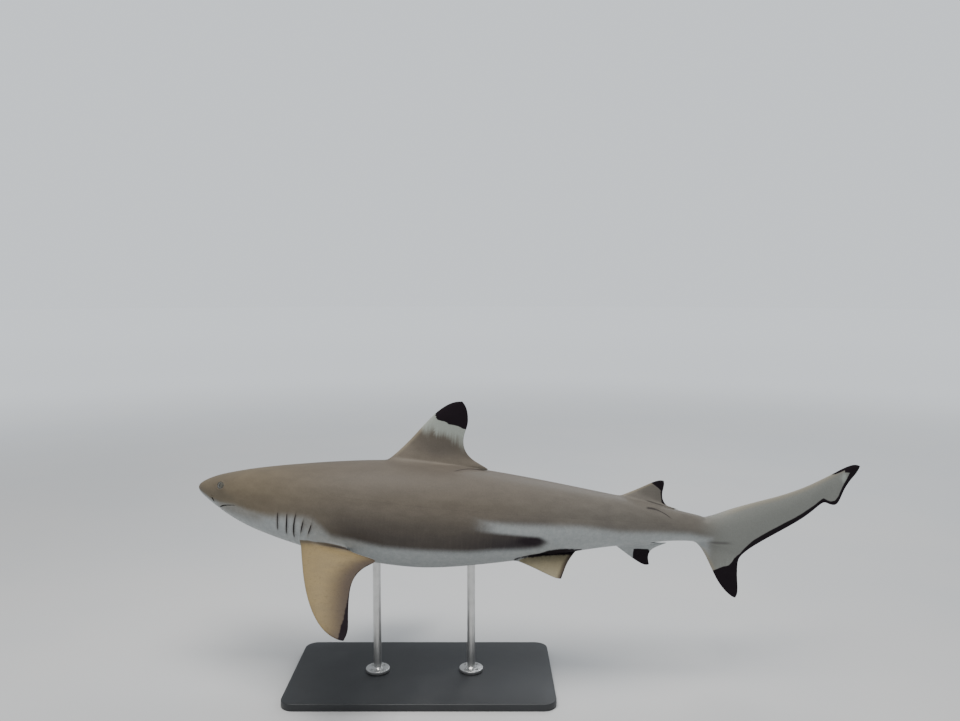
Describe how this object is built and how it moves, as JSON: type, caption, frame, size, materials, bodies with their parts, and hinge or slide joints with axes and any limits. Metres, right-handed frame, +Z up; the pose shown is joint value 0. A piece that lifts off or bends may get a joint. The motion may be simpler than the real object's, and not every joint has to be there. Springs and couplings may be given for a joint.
{
  "type": "blacktip reef shark display model",
  "caption": "Life-size still model of a swimming blacktip reef shark, head turned aside, held level on two short rods over a flat base.",
  "frame": {"origin": "middle of the underside of the stand's base, on the floor", "axes": "+Z up; -X towards the shark's snout and +X towards its tail; -Y towards the shark's left side"},
  "size_m": [1.3618, 0.5173, 0.5618],
  "materials": {
    "skin_back": "satin",
    "skin_belly": "satin",
    "skin_fins": "satin",
    "eyes": "gloss",
    "stand_paint": "satin",
    "stand_steel": "satin"
  },
  "bodies": {
    "root": {"head": "skin_back", "lower_jaw": "skin_belly", "trunk": "skin_back", "tail_stem": "skin_back", "caudal_upper_lobe": "skin_fins", "caudal_lower_lobe": "skin_fins", "first_dorsal_fin": "skin_fins", "second_dorsal_fin": "skin_fins", "anal_fin": "skin_fins", "pectoral_fin_left": "skin_fins", "pectoral_fin_right": "skin_fins", "pelvic_fin_left": "skin_fins", "pelvic_fin_right": "skin_fins", "eye_left": "eyes", "eye_right": "eyes", "stand_base": "stand_paint", "stand_rod_front": "stand_steel", "stand_rod_rear": "stand_steel"}
  },
  "joints": []
}
